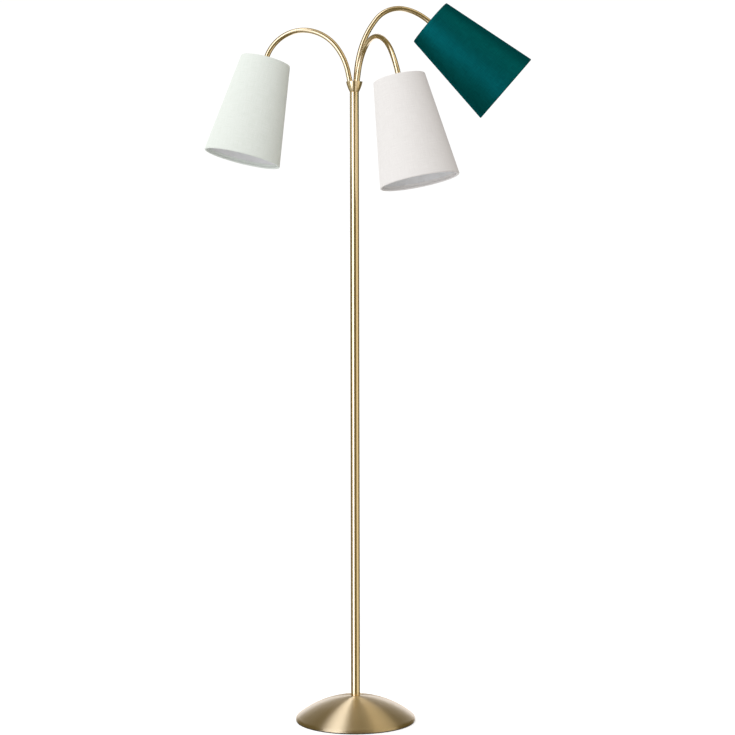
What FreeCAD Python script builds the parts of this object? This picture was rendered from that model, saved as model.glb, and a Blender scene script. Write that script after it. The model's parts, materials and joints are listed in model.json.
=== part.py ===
import FreeCAD, Part
import math
import operator
import os
import Sketcher

# A floor lamp with three flexible arms on one pole. The origin is on the floor, on the pole's axis;
# +Z is up, +X is to the right and -Y is the front. Lengths are millimetres, angles are degrees.

doc = FreeCAD.newDocument("TreeFloorLamp")
Vector = FreeCAD.Vector

# ---------------------------------------------------------------- sizes

DRIVING_SIZES = [
    # base
    ("pad_clearance", 0.8), ("pad_thickness", 2.0), ("pad_window", 24.0),
    ("dome_radius", 125.0), ("dome_height", 50.0), ("dome_shoulder", 8.0), ("dome_lip", 1.0),
    ("dome_wall", 1.2), ("weight_clearance", 16.0), ("weight_height", 14.0), ("weight_chamfer", 2.0),
    ("nut_recess_radius", 17.0), ("nut_recess_depth", 9.0), ("cord_channel_width", 9.0),
    ("cord_channel_depth", 9.0), ("cord_hole_radius", 4.0), ("cord_hole_height", 6.2),
    ("bushing_bore", 3.1), ("bushing_flange", 5.0), ("bushing_flange_thickness", 1.6),
    ("bushing_length", 8.5),
    # thread sizes and the fits that the pieces share
    ("nipple_radius", 5.0), ("nipple_bore", 3.5), ("thread_fit", 0.05), ("hole_fit", 0.3),
    ("nut_across_flats", 17.0), ("nut_thickness", 5.0), ("nut_chamfer", 0.8),
    ("washer_radius", 13.0), ("washer_thickness", 1.5), ("nipple_end_below_nut", 1.0),
    ("spacer_radius", 9.0), ("lead_radius", 2.8),
    # pole
    ("pole_radius", 9.5), ("pole_wall", 1.0), ("pole_section", 419.0), ("pole_edge", 0.3),
    ("coupler_length", 50.0), ("coupler_bore", 5.6), ("bush_length", 20.0),
    ("nipple_in_foot", 18.0), ("nipple_in_top", 12.0), ("nipple_in_collar", 7.0),
    # collar that holds the arms
    ("collar_height", 21.0), ("collar_foot_radius", 9.6), ("collar_mouth_radius", 17.3),
    ("collar_flare", 80.0), ("collar_wall", 1.4), ("collar_neck", 8.0), ("plate_fit", 0.08),
    ("plate_bottom", 10.6), ("plate_top", 16.6),
    # flexible arms
    ("neck_radius", 5.5), ("neck_bore", 3.2), ("ball_radius", 6.2), ("seat_fit", 0.15),
    ("root_depth", 6.0), ("root_pitch", 7.7), ("root_lean", 12.0), ("root_length", 26.0),
    ("stub_radius", 4.0), ("stub_length", 4.4), ("bend_length", 62.0), ("head_straight", 5.0),
    ("ferrule_radius", 6.5), ("ferrule_length", 3.0), ("head_stub_length", 8.0),
    # how each arm stands: the side it leaves the collar on, the way it bends over, the way its
    # shade looks, and its lean from upright at the end of each length
    ("left_exit", 190.0), ("left_bearing", 169.0), ("left_shade_bearing", 202.0),
    ("left_lean_1", 39.5), ("left_lean_2", 79.0), ("left_lean_3", 121.5), ("left_lean_4", 165.5),
    ("front_exit", -50.0), ("front_bearing", -63.0), ("front_shade_bearing", -27.5),
    ("front_lean_1", 54.0), ("front_lean_2", 107.0), ("front_lean_3", 141.0), ("front_lean_4", 167.5),
    ("right_exit", 70.0), ("right_bearing", 7.5), ("right_shade_bearing", 1.0),
    ("right_lean_1", 19.5), ("right_lean_2", 39.5), ("right_lean_3", 100.5), ("right_lean_4", 131.0),
    # lampholder, measured down the shade's axis from its top rim
    ("cap_top_radius", 8.0), ("cap_radius", 14.0), ("cap_slope", 5.0), ("cap_height", 16.0),
    ("cap_wall", 1.2), ("cap_boss", 6.5), ("holder_plug", 4.0), ("holder_radius", 14.0),
    ("holder_length", 32.0), ("holder_to_flange", 7.0), ("holder_flange_radius", 17.0),
    ("holder_flange_thickness", 2.0), ("holder_bore", 11.0), ("holder_floor", 5.0),
    ("insert_fit", 0.1), ("insert_bore", 7.2), ("insert_floor", 3.0), ("insert_length", 22.0),
    ("wire_hole", 3.0), ("ring_thread_fit", 0.15), ("ring_radius", 20.0), ("ring_flange", 2.4),
    ("ring_barrel_radius", 17.0), ("ring_length", 8.5),
    # shade and its wire frame
    ("shade_top_radius", 52.0), ("shade_bottom_radius", 80.0), ("shade_height", 210.0),
    ("shade_wall", 1.0), ("shade_hem", 3.6), ("shade_hem_thickness", 0.8), ("wire_radius", 1.3),
    ("wire_fit", 0.2), ("spider_arm_radius", 1.1), ("spider_ring_radius", 20.0),
    ("spider_ring_thickness", 1.5), ("spider_fit", 0.05),
    # lamp bulb
    ("bulb_radius", 22.5), ("bulb_below_holder", 36.0), ("bulb_neck_radius", 9.0),
    ("bulb_neck_length", 2.0), ("bulb_screw_radius", 6.7), ("bulb_screw_length", 22.0),
    ("bulb_contact_radius", 3.0), ("bulb_contact_height", 2.5), ("bulb_shoulder_radius", 19.5),
]
TIED_SIZES = [
    ("pad_radius", "dome_radius - pad_clearance"), ("weight_radius", "dome_radius - weight_clearance"),
]
SPIDER_ARMS = 3
ARMS = ("left", "front", "right")

sheet = doc.addObject("Spreadsheet::Sheet", "Sizes")
for row, (alias, number) in enumerate(DRIVING_SIZES, start=1):
    sheet.set(f"A{row}", alias)
    sheet.set(f"B{row}", str(number))
    sheet.setAlias(f"B{row}", alias)
for row, (alias, formula) in enumerate(TIED_SIZES, start=len(DRIVING_SIZES) + 1):
    sheet.set(f"A{row}", alias)
    sheet.set(f"B{row}", f"={formula}")
    sheet.setAlias(f"B{row}", alias)
doc.recompute()


class Size:
    """A size of the sheet, or one worked out from such sizes: its number and its formula."""

    def __init__(self, number, formula):
        self.number = number
        self.formula = formula

    def __add__(self, other):
        return combine(operator.add, "+", self, other)

    def __radd__(self, other):
        return combine(operator.add, "+", other, self)

    def __sub__(self, other):
        return combine(operator.sub, "-", self, other)

    def __rsub__(self, other):
        return combine(operator.sub, "-", other, self)

    def __mul__(self, other):
        return combine(operator.mul, "*", self, other)

    def __rmul__(self, other):
        return combine(operator.mul, "*", other, self)

    def __truediv__(self, other):
        return combine(operator.truediv, "/", self, other)


def as_size(value):
    return value if isinstance(value, Size) else Size(float(value), repr(float(value)))


def combine(operation, sign, left, right):
    left, right = as_size(left), as_size(right)
    return Size(operation(left.number, right.number), f"({left.formula} {sign} {right.formula})")


def square_root(size):
    return Size(math.sqrt(size.number), f"sqrt({size.formula})")


def sine(size):
    return Size(math.sin(math.radians(size.number)), f"sin({size.formula})")


def cosine(size):
    return Size(math.cos(math.radians(size.number)), f"cos({size.formula})")


def arc_cosine(size):
    """The angle in degrees, as a plain number."""
    return Size(math.degrees(math.acos(size.number)), f"(acos({size.formula}) / 1 deg)")


def named(alias):
    return Size(float(sheet.get(alias)), f"Sizes.{alias}")


def bind(thing, **formulas):
    for name, size in formulas.items():
        thing.setExpression(name, as_size(size).formula)


def bind_position(thing, x=0.0, y=0.0, z=0.0):
    for axis, size in zip("xyz", (x, y, z)):
        thing.setExpression(f"Placement.Base.{axis}", as_size(size).formula)


# ---------------------------------------------------------------- ways of making a piece

class Arc:
    """A round side of an outline: its centre, its radius, and whether it runs anticlockwise."""

    def __init__(self, centre_x, centre_y, radius, anticlockwise):
        self.centre_x, self.centre_y = as_size(centre_x), as_size(centre_y)
        self.radius, self.anticlockwise = as_size(radius), anticlockwise


def origin_plane(body, role):
    return next(feature for feature in body.Origin.OriginFeatures if feature.Role == role)


def new_sketch(body, name, role):
    sketch = body.newObject("Sketcher::SketchObject", name)
    sketch.AttachmentSupport = (origin_plane(body, role), [""])
    sketch.MapMode = "FlatFace"
    return sketch


def pin_corner(sketch, side, end, x, y):
    """Hold one corner at its x and y from the sketch's origin."""
    for kind, axis, size in (("DistanceX", -2, x), ("DistanceY", -1, y)):
        if size.number == 0.0:
            sketch.addConstraint(Sketcher.Constraint("PointOnObject", side, end, axis))
        else:
            number = sketch.addConstraint(Sketcher.Constraint(kind, -1, 1, side, end, size.number))
            sketch.setExpression(f"Constraints[{number}]", size.formula)


def draw_outline(sketch, corners, arcs):
    """A closed outline. arcs gives the round sides by the number of the corner they start from."""
    corners = [(as_size(x), as_size(y)) for x, y in corners]
    count = len(corners)
    first = sketch.GeometryCount
    ends = []
    for side, (x, y) in enumerate(corners):
        next_x, next_y = corners[(side + 1) % count]
        start, stop = Vector(x.number, y.number, 0), Vector(next_x.number, next_y.number, 0)
        arc = arcs.get(side)
        if arc is None:
            sketch.addGeometry(Part.LineSegment(start, stop))
            ends.append((1, 2))
            continue
        centre = Vector(arc.centre_x.number, arc.centre_y.number, 0)
        if not arc.anticlockwise:
            start, stop = stop, start
        angles = [math.atan2(point.y - centre.y, point.x - centre.x) for point in (start, stop)]
        circle = Part.Circle(centre, Vector(0, 0, 1), arc.radius.number)
        sketch.addGeometry(Part.ArcOfCircle(circle, *angles))
        ends.append((1, 2) if arc.anticlockwise else (2, 1))
    for side in range(count):
        following = (side + 1) % count
        sketch.addConstraint(Sketcher.Constraint(
            "Coincident", first + side, ends[side][1], first + following, ends[following][0]))
    for side, (x, y) in enumerate(corners):
        pin_corner(sketch, first + side, ends[side][0], x, y)
    for side, arc in arcs.items():
        number = sketch.addConstraint(Sketcher.Constraint("Radius", first + side, arc.radius.number))
        sketch.setExpression(f"Constraints[{number}]", arc.radius.formula)


def draw_circle(sketch, x, y, radius):
    x, y, radius = as_size(x), as_size(y), as_size(radius)
    circle = Part.Circle(Vector(x.number, y.number, 0), Vector(0, 0, 1), radius.number)
    side = sketch.addGeometry(circle)
    pin_corner(sketch, side, 3, x, y)
    number = sketch.addConstraint(Sketcher.Constraint("Radius", side, radius.number))
    sketch.setExpression(f"Constraints[{number}]", radius.formula)


def new_body(label):
    body = doc.addObject("PartDesign::Body", label)
    body.Label = label
    return body


def turn_about_z(body, sketch):
    turn = body.newObject("PartDesign::Revolution", f"{body.Label}_turned")
    turn.Profile = sketch
    turn.ReferenceAxis = (sketch, ["V_Axis"])
    turn.Angle = 360.0
    return body


def turned(label, corners, arcs=None):
    """A piece turned about its own Z axis from an outline of (radius, height) corners."""
    body = new_body(label)
    sketch = new_sketch(body, f"{label}_outline", "XZ_Plane")
    draw_outline(sketch, corners, arcs or {})
    return turn_about_z(body, sketch)


def turned_ring(label, ring_radius, wire, height):
    """A ring of round wire about its own Z axis."""
    body = new_body(label)
    sketch = new_sketch(body, f"{label}_section", "XZ_Plane")
    draw_circle(sketch, ring_radius, height, wire)
    return turn_about_z(body, sketch)


def tube(label, inner, outer, length, edge=0.0):
    """A turned tube that stands on its own origin, with its outer edges broken by edge."""
    corners = [(inner, 0.0), (outer - edge, 0.0), (outer, edge), (outer, length - edge),
               (outer - edge, length), (inner, length)]
    if as_size(edge).number == 0.0:
        corners = [(inner, 0.0), (outer, 0.0), (outer, length), (inner, length)]
    return turned(label, corners)


def primitive(kind, label, **sizes):
    shape = doc.addObject(f"Part::{kind}", label)
    bind(shape, **sizes)
    return shape


def joined(label, pieces):
    fuse = doc.addObject("Part::MultiFuse", label)
    fuse.Shapes = pieces
    return fuse


def cut(label, base, tool):
    result = doc.addObject("Part::Cut", label)
    result.Base, result.Tool = base, tool
    return result


# ---------------------------------------------------------------- base

pad_thickness = named("pad_thickness")
dome_radius, dome_height = named("dome_radius"), named("dome_height")
dome_wall, dome_lip, dome_shoulder = named("dome_wall"), named("dome_lip"), named("dome_shoulder")
nipple_radius, nipple_bore = named("nipple_radius"), named("nipple_bore")
thread_fit, hole_fit = named("thread_fit"), named("hole_fit")
clear_hole = nipple_radius + hole_fit
thread_hole = nipple_radius + thread_fit
weight_radius, weight_height = named("weight_radius"), named("weight_height")
recess_radius, recess_depth = named("nut_recess_radius"), named("nut_recess_depth")

base_pad = tube("base_pad", named("pad_window"), named("pad_radius"), pad_thickness)

# The dome's outside is a short upright lip, a shoulder arc and a flat crown arc, each tangent to
# the next. The crown's radius follows from the height.
shoulder_axis = dome_radius - dome_shoulder
lip_below_crown = dome_lip - dome_height
crown_radius = ((dome_shoulder * dome_shoulder - lip_below_crown * lip_below_crown
                 - shoulder_axis * shoulder_axis) / (2.0 * (lip_below_crown + dome_shoulder)))
crown_centre = dome_height - crown_radius
centre_distance = crown_radius - dome_shoulder
blend_x = shoulder_axis / centre_distance
blend_y = (dome_lip - crown_centre) / centre_distance


def crown_point(radius):
    return radius * blend_x, crown_centre + radius * blend_y


def crown_height(at, radius):
    return crown_centre + square_root(radius * radius - at * at)


inner_crown = crown_radius - dome_wall
base_dome = turned("base_dome", [
    (dome_radius, 0.0), (dome_radius, dome_lip), crown_point(crown_radius),
    (clear_hole, crown_height(clear_hole, crown_radius)),
    (clear_hole, crown_height(clear_hole, inner_crown)), crown_point(inner_crown),
    (dome_radius - dome_wall, dome_lip), (dome_radius - dome_wall, 0.0),
], {
    1: Arc(shoulder_axis, dome_lip, dome_shoulder, True),
    2: Arc(0.0, crown_centre, crown_radius, True),
    4: Arc(0.0, crown_centre, inner_crown, False),
    5: Arc(shoulder_axis, dome_lip, dome_shoulder - dome_wall, False),
})
cord_hole_radius, cord_hole_height = named("cord_hole_radius"), named("cord_hole_height")
cord_hole = new_sketch(base_dome, "base_dome_cord_hole", "XZ_Plane")
draw_circle(cord_hole, 0.0, cord_hole_height, cord_hole_radius + hole_fit)
drilled = base_dome.newObject("PartDesign::Pocket", "base_dome_drilled")
drilled.Profile = cord_hole
bind(drilled, Length=dome_radius + dome_wall)
bind_position(base_dome, z=pad_thickness)

# The iron disc rests on the pad; its recess takes the washer and nut, its channel the lead.
chamfer = named("weight_chamfer")
base_weight = turned("base_weight", [
    (recess_radius, 0.0), (weight_radius, 0.0), (weight_radius, weight_height - chamfer),
    (weight_radius - chamfer, weight_height), (clear_hole, weight_height),
    (clear_hole, recess_depth), (recess_radius, recess_depth),
])
channel = new_sketch(base_weight, "base_weight_channel", "XY_Plane")
half_channel = named("cord_channel_width") / 2.0
past_edge = weight_radius + hole_fit
draw_outline(channel, [(0.0 - half_channel, 0.0), (half_channel, 0.0), (half_channel, past_edge),
                       (0.0 - half_channel, past_edge)], {})
milled = base_weight.newObject("PartDesign::Pocket", "base_weight_milled")
milled.Profile = channel
milled.Reversed = True
bind(milled, Length=named("cord_channel_depth"))
bind_position(base_weight, z=pad_thickness)

washer_thickness, nut_thickness = named("washer_thickness"), named("nut_thickness")
washer_seat = pad_thickness + recess_depth - washer_thickness
base_washer = tube("base_washer", clear_hole, named("washer_radius"), washer_thickness)
bind_position(base_washer, z=washer_seat)

# The nut is a hexagon with both faces turned back at the corners.
nut_flat = named("nut_across_flats") / 2.0
nut_corner = nut_flat * 2.0 / math.sqrt(3.0)
nut_chamfer = named("nut_chamfer")
nut_blank = new_body("nut_blank")
hexagon = new_sketch(nut_blank, "nut_hexagon", "XY_Plane")
draw_outline(hexagon, [
    (nut_corner, 0.0), (nut_corner / 2.0, nut_flat), (0.0 - nut_corner / 2.0, nut_flat),
    (0.0 - nut_corner, 0.0), (0.0 - nut_corner / 2.0, 0.0 - nut_flat),
    (nut_corner / 2.0, 0.0 - nut_flat),
], {})
draw_circle(hexagon, 0.0, 0.0, thread_hole)
nut_pad = nut_blank.newObject("PartDesign::Pad", "nut_pad")
nut_pad.Profile = hexagon
bind(nut_pad, Length=nut_thickness)
nut_turning = turned("nut_turning", [
    (0.0, 0.0), (nut_flat, 0.0), (nut_corner, nut_chamfer), (nut_corner, nut_thickness - nut_chamfer),
    (nut_flat, nut_thickness), (0.0, nut_thickness),
])
base_hex_nut = doc.addObject("Part::Common", "base_hex_nut")
base_hex_nut.Base, base_hex_nut.Tool = nut_blank, nut_turning
nut_seat = washer_seat - nut_thickness
bind_position(base_hex_nut, z=nut_seat)

pole_seat = pad_thickness + dome_height
nipple_foot = nut_seat - named("nipple_end_below_nut")
base_nipple = tube("base_nipple", nipple_bore, nipple_radius,
                   pole_seat + named("nipple_in_foot") - nipple_foot)
bind_position(base_nipple, z=nipple_foot)

spacer_seat = pad_thickness + weight_height
crown_underside = crown_height(named("spacer_radius"), inner_crown)
base_spacer = tube("base_spacer", clear_hole, named("spacer_radius"),
                   pad_thickness + crown_underside - spacer_seat)
bind_position(base_spacer, z=spacer_seat)

# The bushing is turned about the cord hole's axis, its flange against the outside of the dome.
bushing_flange, bushing_bore = named("bushing_flange"), named("bushing_bore")
flange_thickness, bushing_length = named("bushing_flange_thickness"), named("bushing_length")
rise = cord_hole_height - dome_lip
below_hole = rise - bushing_flange
flange_seat = shoulder_axis + square_root(dome_shoulder * dome_shoulder - below_hole * below_hole)
cord_bushing = turned("cord_bushing", [
    (bushing_bore, 0.0), (bushing_flange, 0.0), (bushing_flange, flange_thickness),
    (cord_hole_radius, flange_thickness), (cord_hole_radius, bushing_length),
    (bushing_bore, bushing_length),
])
cord_bushing.Placement.Rotation = FreeCAD.Rotation(Vector(1, 0, 0), 90)
bind_position(cord_bushing, y=flange_seat + flange_thickness, z=pad_thickness + cord_hole_height)

# ---------------------------------------------------------------- pole

pole_radius, pole_section = named("pole_radius"), named("pole_section")
pole_bore = pole_radius - named("pole_wall")
inner_fit_radius = pole_bore - thread_fit
pole_names = ("pole_lower", "pole_middle", "pole_upper")
for level, label in enumerate(pole_names):
    section = tube(label, pole_bore, pole_radius, pole_section, named("pole_edge"))
    bind_position(section, z=pole_seat + pole_section * level)
pole_top = pole_seat + pole_section * len(pole_names)

coupler_length, bush_length = named("coupler_length"), named("bush_length")
for level, label in enumerate(("coupler_lower", "coupler_upper"), start=1):
    coupler = tube(label, named("coupler_bore"), inner_fit_radius, coupler_length)
    bind_position(coupler, z=pole_seat + pole_section * level - coupler_length / 2.0)

for label, height in (("pole_foot_bush", pole_seat), ("pole_top_bush", pole_top - bush_length)):
    bush = tube(label, thread_hole, inner_fit_radius, bush_length)
    bind_position(bush, z=height)

# ---------------------------------------------------------------- collar

collar_height, collar_flare = named("collar_height"), named("collar_flare")
foot_radius, mouth_radius = named("collar_foot_radius"), named("collar_mouth_radius")
collar_wall = named("collar_wall")

# One arc bellies the side from the foot to the mouth: its centre lies inwards of the chord.
chord_x = mouth_radius - foot_radius
chord = square_root(chord_x * chord_x + collar_height * collar_height)
to_centre = square_root(collar_flare * collar_flare - chord * chord / 4.0) / chord
flare_x = (mouth_radius + foot_radius) / 2.0 - to_centre * collar_height
flare_y = collar_height / 2.0 + to_centre * chord_x


def flare_radius(height, radius):
    """How far the arc of this radius about the flare's centre stands from the pole's axis."""
    offset = height - flare_y
    return flare_x + square_root(radius * radius - offset * offset)


collar_inside = collar_flare - collar_wall
collar_neck = named("collar_neck")
arm_collar = turned("arm_collar", [
    (thread_hole, 0.0), (foot_radius, 0.0), (mouth_radius, collar_height),
    (flare_radius(collar_height, collar_inside), collar_height),
    (flare_radius(collar_neck, collar_inside), collar_neck), (thread_hole, collar_neck),
], {
    1: Arc(flare_x, flare_y, collar_flare, True),
    3: Arc(flare_x, flare_y, collar_inside, False),
})
bind_position(arm_collar, z=pole_top)

nipple_below, nipple_above = named("nipple_in_top"), named("nipple_in_collar")
collar_nipple = tube("collar_nipple", nipple_bore, nipple_radius, nipple_below + nipple_above)
bind_position(collar_nipple, z=pole_top - nipple_below)

lead_foot = nipple_foot
pole_lead = turned("pole_lead", [
    (0.0, 0.0), (named("lead_radius"), 0.0), (named("lead_radius"), pole_top + collar_neck - lead_foot),
    (0.0, pole_top + collar_neck - lead_foot),
])
bind_position(pole_lead, z=lead_foot)

# ---------------------------------------------------------------- how the arms stand

neck_radius, neck_bore = named("neck_radius"), named("neck_bore")
root_lean, root_pitch = named("root_lean"), named("root_pitch")
root_length, bend_length = named("root_length"), named("bend_length")
ball_radius, seat_fit = named("ball_radius"), named("seat_fit")
ball_back = square_root(ball_radius * ball_radius - neck_radius * neck_radius)
LENGTHS_PER_ARM = 4
arms_seat = pole_top + collar_height - named("root_depth")


def direction(lean, bearing):
    """Where a piece points that leans so far from upright, towards a bearing from +X."""
    lean, bearing = math.radians(lean.number), math.radians(bearing.number)
    return Vector(math.sin(lean) * math.cos(bearing), math.sin(lean) * math.sin(bearing),
                  math.cos(lean))


def frame_at(point, forward, sideways):
    """A placement whose Z runs forward and whose X is as near sideways as it can be."""
    x_axis = (sideways - forward * sideways.dot(forward)).normalize()
    y_axis = forward.cross(x_axis)
    turn = FreeCAD.Rotation(x_axis, y_axis, forward, "ZXY")
    return FreeCAD.Placement(point, turn)


def turn_between(lean_a, bearing_a, lean_b, bearing_b):
    """The angle between two directions, each given by its lean and its bearing."""
    across = sine(lean_a) * sine(lean_b) * cosine(bearing_b - bearing_a)
    return arc_cosine(across + cosine(lean_a) * cosine(lean_b))


class Arm:
    """The rest shape of one arm: a straight root, then lengths that each bend in one arc."""

    def __init__(self, side):
        exit_side, bearing = named(f"{side}_exit"), named(f"{side}_bearing")
        looks = named(f"{side}_shade_bearing")
        self.steps = [(root_lean, exit_side)]
        for number in range(1, LENGTHS_PER_ARM + 1):
            way = looks if number == LENGTHS_PER_ARM else bearing
            self.steps.append((named(f"{side}_lean_{number}"), way))
        outward = direction(Size(90.0, "90"), exit_side)
        start = outward * root_pitch.number + Vector(0, 0, arms_seat.number)
        forward = direction(*self.steps[0])
        self.root = frame_at(start, forward, outward)
        point = start + forward * root_length.number
        self.frames = []
        self.turns = []
        for before, after in zip(self.steps, self.steps[1:]):
            forward, onward = direction(*before), direction(*after)
            turn = turn_between(*before, *after)
            self.frames.append(frame_at(point, forward, onward))
            self.turns.append(turn)
            chord = 2.0 * bend_length.number / math.radians(turn.number)
            chord *= math.sin(math.radians(turn.number) / 2.0)
            point = point + (forward + onward).normalize() * chord
        self.head = frame_at(point, onward, Vector(0, 0, 1))


arms = {side: Arm(side) for side in ARMS}

# ---------------------------------------------------------------- plate in the collar's mouth

# The plate is a tapered plug; three threaded holes lean outwards, each with a spot face that the
# arm's shoulder seats on.
plate_bottom, plate_top = named("plate_bottom"), named("plate_top")
plate_side = collar_inside - named("plate_fit")
plate_blank = turned("plate_blank", [
    (0.0, plate_bottom), (flare_radius(plate_bottom, plate_side), plate_bottom),
    (flare_radius(plate_top, plate_side), plate_top), (0.0, plate_top),
], {1: Arc(flare_x, flare_y, plate_side, True)})
bind_position(plate_blank, z=pole_top)
stub_radius, stub_length = named("stub_radius"), named("stub_length")
plate_cutters = []
for side in ARMS:
    spot_face = primitive("Cylinder", f"{side}_spot_face", Radius=neck_radius + seat_fit,
                          Height=plate_top - plate_bottom)
    spot_face.Placement = arms[side].root
    thread = primitive("Cylinder", f"{side}_plate_thread", Radius=stub_radius + thread_fit,
                       Height=plate_top)
    thread.Placement = arms[side].root.multiply(
        FreeCAD.Placement(Vector(0, 0, -plate_top.number / 2.0), FreeCAD.Rotation()))
    plate_cutters += [spot_face, thread]
arm_plate = cut("arm_plate", plate_blank, joined("plate_cutters", plate_cutters))

# ---------------------------------------------------------------- flexible arms

def ball_cap(label):
    """The end of a length beyond its last turn: a slice of a ball as wide as the tube."""
    cap = primitive("Sphere", label, Radius=ball_radius,
                    Angle1=90.0 - arc_cosine(ball_back / ball_radius))
    return cap


def root_piece(side):
    """The first length: straight, screwed into the plate, with a ball end."""
    label = f"{side}_neck_1"
    barrel = primitive("Cylinder", f"{label}_barrel", Radius=neck_radius, Height=root_length)
    stub = primitive("Cylinder", f"{label}_stub", Radius=stub_radius, Height=stub_length + root_length)
    bind_position(stub, z=0.0 - stub_length)
    cap = ball_cap(f"{label}_cap")
    bind_position(cap, z=root_length - ball_back)
    bore = primitive("Cylinder", f"{label}_bore", Radius=neck_bore,
                     Height=stub_length + root_length + ball_radius)
    bind_position(bore, z=0.0 - stub_length)
    piece = cut(label, joined(f"{label}_solid", [barrel, stub, cap]), bore)
    piece.Placement = arms[side].root
    return piece


def bent_tube(label, radius, bend_radius, turn):
    """A round bar that starts up +Z at the origin and bends towards +X."""
    ring = primitive("Torus", label, Radius1=bend_radius, Radius2=radius, Angle3=turn)
    ring.Placement.Rotation = FreeCAD.Rotation(Vector(-1, 0, 0), Vector(0, 0, 1), Vector(0, 1, 0),
                                               "ZXY")
    bind_position(ring, x=bend_radius)
    return ring


def at_bend_end(piece, bend_radius, turn, further=0.0):
    """Put a piece on the end of the bend, moved on along the tube's direction there."""
    piece.Placement.Rotation = FreeCAD.Rotation(Vector(0, 1, 0), 90)
    bind(piece, **{"Placement.Rotation.Angle": turn})
    bind_position(piece, x=bend_radius * (1.0 - cosine(turn)) + further * sine(turn),
                  z=bend_radius * sine(turn) + further * cosine(turn))
    return piece


def bent_piece(side, number):
    """A bent length: a hollow seat at its start for the ball before it, and a ball or a stub."""
    label = f"{side}_neck_{number + 2}"
    turn = arms[side].turns[number]
    bend_radius = bend_length / turn * (180.0 / math.pi)
    parts = [bent_tube(f"{label}_bend", neck_radius, bend_radius, turn)]
    seat = primitive("Sphere", f"{label}_seat", Radius=ball_radius + seat_fit)
    bind_position(seat, z=0.0 - ball_back)
    hollows = [seat, bent_tube(f"{label}_bore", neck_bore, bend_radius, turn)]
    if number + 1 < LENGTHS_PER_ARM:
        parts.append(at_bend_end(ball_cap(f"{label}_cap"), bend_radius, turn, 0.0 - ball_back))
        onward = primitive("Cylinder", f"{label}_onward", Radius=neck_bore, Height=ball_radius)
    else:
        straight, ferrule_length = named("head_straight"), named("ferrule_length")
        stub_reach = straight + named("head_stub_length")
        barrel = primitive("Cylinder", f"{label}_straight", Radius=neck_radius, Height=straight)
        ferrule = primitive("Cylinder", f"{label}_ferrule", Radius=named("ferrule_radius"),
                            Height=ferrule_length)
        stub = primitive("Cylinder", f"{label}_stub", Radius=nipple_radius, Height=stub_reach)
        parts.append(at_bend_end(barrel, bend_radius, turn))
        parts.append(at_bend_end(ferrule, bend_radius, turn, straight - ferrule_length))
        parts.append(at_bend_end(stub, bend_radius, turn))
        onward = primitive("Cylinder", f"{label}_onward", Radius=neck_bore, Height=stub_reach)
    hollows.append(at_bend_end(onward, bend_radius, turn))
    piece = cut(label, joined(f"{label}_solid", parts), joined(f"{label}_hollow", hollows))
    piece.Placement = arms[side].frames[number]
    return piece


neck_labels = []
for side in ARMS:
    neck_labels.append(root_piece(side).Label)
    neck_labels += [bent_piece(side, number).Label for number in range(LENGTHS_PER_ARM)]

# ---------------------------------------------------------------- lampholder, shade and bulb

# Each of these stands on the shade's axis: z is 0 in the plane of the top rim and grows downwards
# into the shade.
cap_seat = named("head_straight")
cap_height, cap_wall = named("cap_height"), named("cap_wall")
cap_radius, cap_slope = named("cap_radius"), named("cap_slope")
holder_plug, holder_radius = named("holder_plug"), named("holder_radius")
holder_seat = cap_seat + cap_height
flange_at = holder_seat + named("holder_to_flange")
spider_seat = flange_at + named("holder_flange_thickness") + named("spider_fit")
ring_seat = spider_seat + named("spider_ring_thickness") + named("spider_fit")
holder_end = holder_seat + named("holder_length")
insert_seat = holder_seat + named("holder_floor")
contact_face = insert_seat + named("insert_floor")
shade_top_radius, shade_height = named("shade_top_radius"), named("shade_height")
shade_bottom_radius = named("shade_bottom_radius")
shade_slope = (shade_bottom_radius - shade_top_radius) / shade_height
slant = square_root(1.0 + shade_slope * shade_slope)
wall_across = named("shade_wall") * slant
hem, hem_thickness = named("shade_hem"), named("shade_hem_thickness")
wire_radius, wire_fit = named("wire_radius"), named("wire_fit")
wire_below_rim = hem_thickness + wire_fit + wire_radius


def shade_outside(depth):
    return shade_top_radius + shade_slope * depth


def wire_ring_radius(depth):
    """The ring lies against the inside of the cone."""
    return shade_outside(depth) - wall_across - (wire_radius + wire_fit) * slant


def lampholder_cap(side):
    boss_end = cap_seat + named("cap_boss")
    inside = cap_radius - cap_wall
    return turned(f"{side}_lampholder_cap", [
        (thread_hole, cap_seat), (named("cap_top_radius"), cap_seat),
        (cap_radius, cap_seat + cap_slope), (cap_radius, holder_seat), (inside, holder_seat),
        (inside, boss_end), (thread_hole, boss_end),
    ])


def lampholder_body(side):
    plug_radius = cap_radius - cap_wall - thread_fit
    plug_start = holder_seat - holder_plug
    flange_radius, bore = named("holder_flange_radius"), named("holder_bore")
    wire_hole = named("wire_hole")
    flange_end = flange_at + named("holder_flange_thickness")
    return turned(f"{side}_lampholder_body", [
        (wire_hole, plug_start), (plug_radius, plug_start), (plug_radius, holder_seat),
        (holder_radius, holder_seat), (holder_radius, flange_at), (flange_radius, flange_at),
        (flange_radius, flange_end), (holder_radius, flange_end), (holder_radius, holder_end),
        (bore, holder_end), (bore, insert_seat), (wire_hole, insert_seat),
    ])


def lampholder_insert(side):
    outside = named("holder_bore") - named("insert_fit")
    insert_bore = named("insert_bore")
    mouth = insert_seat + named("insert_length")
    return turned(f"{side}_lampholder_insert", [
        (0.0, insert_seat), (outside, insert_seat), (outside, mouth), (insert_bore, mouth),
        (insert_bore, contact_face), (0.0, contact_face),
    ])


def shade_ring(side):
    bore = holder_radius + named("ring_thread_fit")
    barrel, flange = named("ring_barrel_radius"), ring_seat + named("ring_flange")
    return turned(f"{side}_shade_ring", [
        (bore, ring_seat), (named("ring_radius"), ring_seat), (named("ring_radius"), flange),
        (barrel, flange), (barrel, ring_seat + named("ring_length")),
        (bore, ring_seat + named("ring_length")),
    ])


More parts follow.
